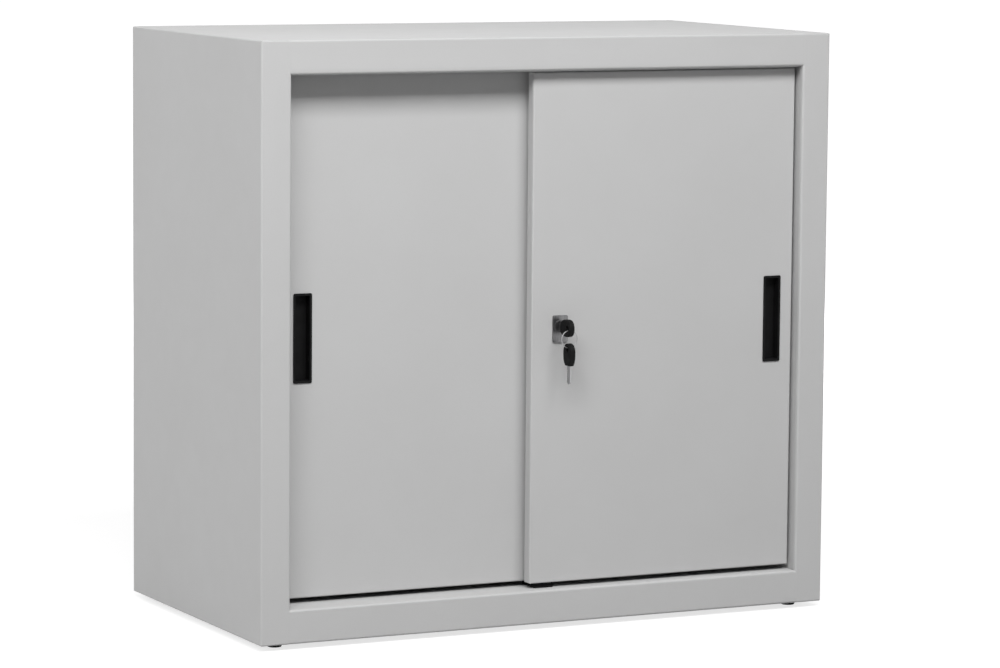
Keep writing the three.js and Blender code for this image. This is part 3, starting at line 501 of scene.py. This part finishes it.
def key_grips():
    """A raised oval line on each face of the two moulded heads.

    The key in the lock lies along Y, and the spare key hangs along Z.
    """
    for node, along, across, shift in (
            ("key_head", 1, 2, GRIP_SHIFT), ("spare_key_head", 2, 1, -GRIP_SHIFT)):
        low, high = corners(node)
        centre = (low + high) / 2
        bm = bmesh.new()
        for face in (-1, 1):
            rings = []
            for i in range(GRIP_STEPS):
                a = math.tau * i / GRIP_STEPS
                place = Vector(centre)
                place[along] += shift + GRIP_LONG * math.cos(a)
                place[across] += GRIP_CROSS * math.sin(a)
                place.x = centre.x + face * (high.x - low.x) / 2
                out = Vector((0, 0, 0))
                out[along], out[across] = math.cos(a), math.sin(a)
                rings.append([
                    bm.verts.new(place + out * GRIP_WIDE * math.cos(b)
                                 + Vector((face * GRIP_PROUD * math.sin(b), 0, 0)))
                    for b in [math.tau * k / GRIP_ROUND for k in range(GRIP_ROUND)]])
            for a, b in zip(rings, rings[1:] + rings[:1]):
                band(bm, a, b)
        finish_piece(node + "_grip", bm, "black_plastic", BODIES[node])


# Heads of the fasteners, as profiles, and their places
RIVET = [(0, -0.6), (3.2, -0.6), (3.2, 0.0), (3.05, 0.35), (2.5, 0.75), (1.6, 1.0),
         (0.8, 1.05), (0.7, 0.7), (0, 0.65)]
SCREW = [(0, -0.6), (4.0, -0.6), (4.0, 0.5), (3.8, 1.1), (3.1, 1.7), (2.1, 2.0), (1.4, 2.05),
         (1.2, 1.1), (0, 0.8)]
COUNTERSUNK = [(0, -0.4), (3.4, -0.4), (3.4, 0.15), (3.2, 0.25), (1.5, 0.3), (1.3, -0.2),
               (0, -0.3)]
HEAD_STEPS = 32
RIVETS_ASIDE, RIVETS_DOWN = (-9 * MM, 9 * MM), 14 * MM
RAIL_SCREWS_AT = (-0.34, -0.17, 0.0, 0.17, 0.34)
RAIL_SHEET, RAIL_SCREW_FORWARD = 1 * MM, 3.25 * MM
GUIDE_SCREWS_AT, GUIDE_BASE = (-7 * MM, 7 * MM), 2 * MM


def fasteners():
    for door in ("front_door", "rear_door"):
        panel = corners(door + "_panel")[1]
        bm = bmesh.new()
        for _, word in SIDES:
            at = middle(f"{door}_hanger_{word}")
            for aside in RIVETS_ASIDE:
                place = (at.x + aside, panel.y, panel.z - RIVETS_DOWN)
                turn(bm, RIVET, place, (0, 1, 0), HEAD_STEPS)
        finish_piece(door + "_hanger_rivets", bm, "zinc_plate", BODIES[door + "_panel"])
    bm = bmesh.new()
    rail_y = middle("hanging_rail").y
    under = corners("hanging_rail")[1].z - RAIL_SHEET
    for x in RAIL_SCREWS_AT:
        turn(bm, SCREW, (x, rail_y - RAIL_SCREW_FORWARD, under), (0, 0, -1), HEAD_STEPS)
    finish_piece("rail_screws", bm, "zinc_plate", BODIES["hanging_rail"])
    bm = bmesh.new()
    guide_y = middle("floor_guide").y
    base = corners("floor_guide")[0].z + GUIDE_BASE
    for x in GUIDE_SCREWS_AT:
        turn(bm, COUNTERSUNK, (x, guide_y, base), (0, 0, 1), HEAD_STEPS)
    finish_piece("guide_screws", bm, "zinc_plate", BODIES["floor_guide"])


TACKS, TACK_END = 5, 60 * MM
TACK_LENGTH = 14 * MM
TACK_THIN, TACK_SWELL = 0.15 * MM, 1.5 * MM
TACK_RIPPLE, TACK_RIPPLES = 0.12, 4.5
TACK_STEPS, TACK_ROUND = 12, 5


def tack(edge, way, wall, side, z):
    """One bead in the corner between an upright's edge and the wall."""
    stations = []
    for i in range(TACK_STEPS + 1):
        t = i / TACK_STEPS
        full = math.sqrt(max(0.0, 1 - (2 * t - 1) ** 4))
        full *= 1 + TACK_RIPPLE * math.sin(math.tau * TACK_RIPPLES * t)
        radius = TACK_THIN + TACK_SWELL * full
        height = z + TACK_LENGTH * (t - 0.5)
        ring = []
        for k in range(TACK_ROUND + 1):
            b = math.pi / 2 * k / TACK_ROUND
            ring.append(Vector((wall - side * radius * math.sin(b),
                                edge + way * radius * math.cos(b), height)))
        ring.append(Vector((wall, edge, height)))
        stations.append(ring)
    return stations


def upright_tacks():
    """Short weld beads where the shelf uprights meet the walls."""
    for place in ("front", "rear"):
        for side, word in SIDES:
            low, high = corners(f"shelf_upright_{place}_{word}")
            wall = high.x if side > 0 else low.x
            bm = bmesh.new()
            for z in np.linspace(low.z + TACK_END, high.z - TACK_END, TACKS):
                for edge, way in ((low.y, -1), (high.y, 1)):
                    sweep(bm, tack(edge, way, wall, side, z))
            finish_piece(f"upright_tacks_{place}_{word}", bm, "zinc_plate",
                         BODIES["left_side_panel"], 50)


frame_welds()
floor_seam()
turned_rollers()
turned_glides()
split_ring()
key_grips()
fasteners()
upright_tacks()


# Room, light and camera
FLOOR_HALF = 30.0
FLOOR_DROP = 0.2 * MM
FLOOR_COLOUR = (0.42, 0.42, 0.42, 1)
GLOW_NEAR, GLOW_FAR = (0.9, 0.73), (3.4, 1.0)
WHITE = (1, 1, 1, 1)
AMBIENT = 0.14


def seen(tree):
    """1 for rays from the camera and through or off glossy things, else 0."""
    path = tree.nodes.new("ShaderNodeLightPath")
    level = path.outputs["Is Camera Ray"]
    for ray in ("Is Glossy Ray", "Is Transmission Ray"):
        either = tree.nodes.new("ShaderNodeMath")
        either.operation = "MAXIMUM"
        tree.links.new(level, either.inputs[0])
        tree.links.new(path.outputs[ray], either.inputs[1])
        level = either.outputs[0]
    return level


def floor_paper():
    """A pale surface that also glows where it is seen, by level and distance from the middle."""
    material = bpy.data.materials.new("floor_paper")
    material.use_nodes = True
    tree = material.node_tree
    tree.nodes.clear()
    out = tree.nodes.new("ShaderNodeOutputMaterial")
    diffuse = tree.nodes.new("ShaderNodeBsdfDiffuse")
    diffuse.inputs["Color"].default_value = FLOOR_COLOUR
    place = tree.nodes.new("ShaderNodeTexCoord")
    away = tree.nodes.new("ShaderNodeVectorMath")
    away.operation = "LENGTH"
    tree.links.new(place.outputs["Object"], away.inputs[0])
    rise = tree.nodes.new("ShaderNodeMapRange")
    rise.interpolation_type = "SMOOTHSTEP"
    for end, (distance, level) in (("Min", GLOW_NEAR), ("Max", GLOW_FAR)):
        rise.inputs["From " + end].default_value = distance
        rise.inputs["To " + end].default_value = level
    tree.links.new(away.outputs["Value"], rise.inputs["Value"])
    glow = tree.nodes.new("ShaderNodeEmission")
    glow.inputs["Color"].default_value = WHITE
    scale = tree.nodes.new("ShaderNodeMath")
    scale.operation = "MULTIPLY"
    tree.links.new(seen(tree), scale.inputs[0])
    tree.links.new(rise.outputs["Result"], scale.inputs[1])
    tree.links.new(scale.outputs[0], glow.inputs["Strength"])
    both = tree.nodes.new("ShaderNodeAddShader")
    tree.links.new(diffuse.outputs[0], both.inputs[0])
    tree.links.new(glow.outputs[0], both.inputs[1])
    tree.links.new(both.outputs[0], out.inputs["Surface"])
    return material


def build_floor():
    mesh = bpy.data.meshes.new("floor")
    around = [(-1, -1), (1, -1), (1, 1), (-1, 1)]
    mesh.from_pydata([(x * FLOOR_HALF, y * FLOOR_HALF, 0) for x, y in around], [], [(0, 1, 2, 3)])
    floor = bpy.data.objects.new("floor", mesh)
    bpy.context.scene.collection.objects.link(floor)
    floor.location.z = -FLOOR_DROP
    floor.data.materials.append(floor_paper())


def build_world():
    world = bpy.data.worlds.new("world")
    bpy.context.scene.world = world
    world.use_nodes = True
    tree = world.node_tree
    tree.nodes.clear()
    out = tree.nodes.new("ShaderNodeOutputWorld")
    back = tree.nodes.new("ShaderNodeBackground")
    back.inputs["Color"].default_value = WHITE
    level = tree.nodes.new("ShaderNodeMapRange")
    level.inputs["To Min"].default_value = AMBIENT
    level.inputs["To Max"].default_value = 1.0
    tree.links.new(seen(tree), level.inputs["Value"])
    tree.links.new(level.outputs["Result"], back.inputs["Strength"])
    tree.links.new(back.outputs[0], out.inputs["Surface"])


def area(name, place, target, size, power):
    data = bpy.data.lights.new(name, "AREA")
    data.shape, data.size, data.size_y, data.energy = "RECTANGLE", size[0], size[1], power
    lamp = bpy.data.objects.new(name, data)
    bpy.context.scene.collection.objects.link(lamp)
    lamp.location = place
    lamp.rotation_mode = "QUATERNION"
    lamp.rotation_quaternion = (Vector(target) - Vector(place)).to_track_quat("-Z", "Y")
    return lamp


def build_lamps():
    area("key", place=(-1.0, -2.2, 2.84), target=(-1.0, -0.1, 0.55), size=(4.2, 0.98), power=128)
    area("side", place=(-3.2, 0.9, 1.6), target=(-0.3, 0.0, 0.4), size=(1.8, 1.8), power=36)
    rear = area("rear", place=(2.3, 3.0, 1.0), target=(0.1, 0.0, 0.4), size=(2.6, 1.4), power=76)
    rear.visible_glossy = False


CAMERA_PLACE = (-2.380906, -4.857979, 0.978551)
CAMERA_ACROSS = (0.89639539, -0.44317784, 0.00828882)
CAMERA_UP = (0.04324728, 0.10605434, 0.99341942)
CAMERA_BACK = (-0.44114054, -0.89013813, 0.11423286)
LENS, SENSOR = 149.856, 36.0
CLIP_NEAR, CLIP_FAR = 0.05, 200.0


def build_camera():
    """A long lens to the left of the front, a little above the top."""
    data = bpy.data.cameras.new("camera")
    data.sensor_fit, data.sensor_width, data.lens = "HORIZONTAL", SENSOR, LENS
    data.clip_start, data.clip_end = CLIP_NEAR, CLIP_FAR
    camera = bpy.data.objects.new("camera", data)
    bpy.context.scene.collection.objects.link(camera)
    facing = Matrix((CAMERA_ACROSS, CAMERA_UP, CAMERA_BACK)).transposed()
    camera.matrix_world = Matrix.Translation(CAMERA_PLACE) @ facing.to_4x4()
    bpy.context.scene.camera = camera


build_floor()
build_world()
build_lamps()
build_camera()
bpy.context.scene.view_settings.view_transform = "Standard"
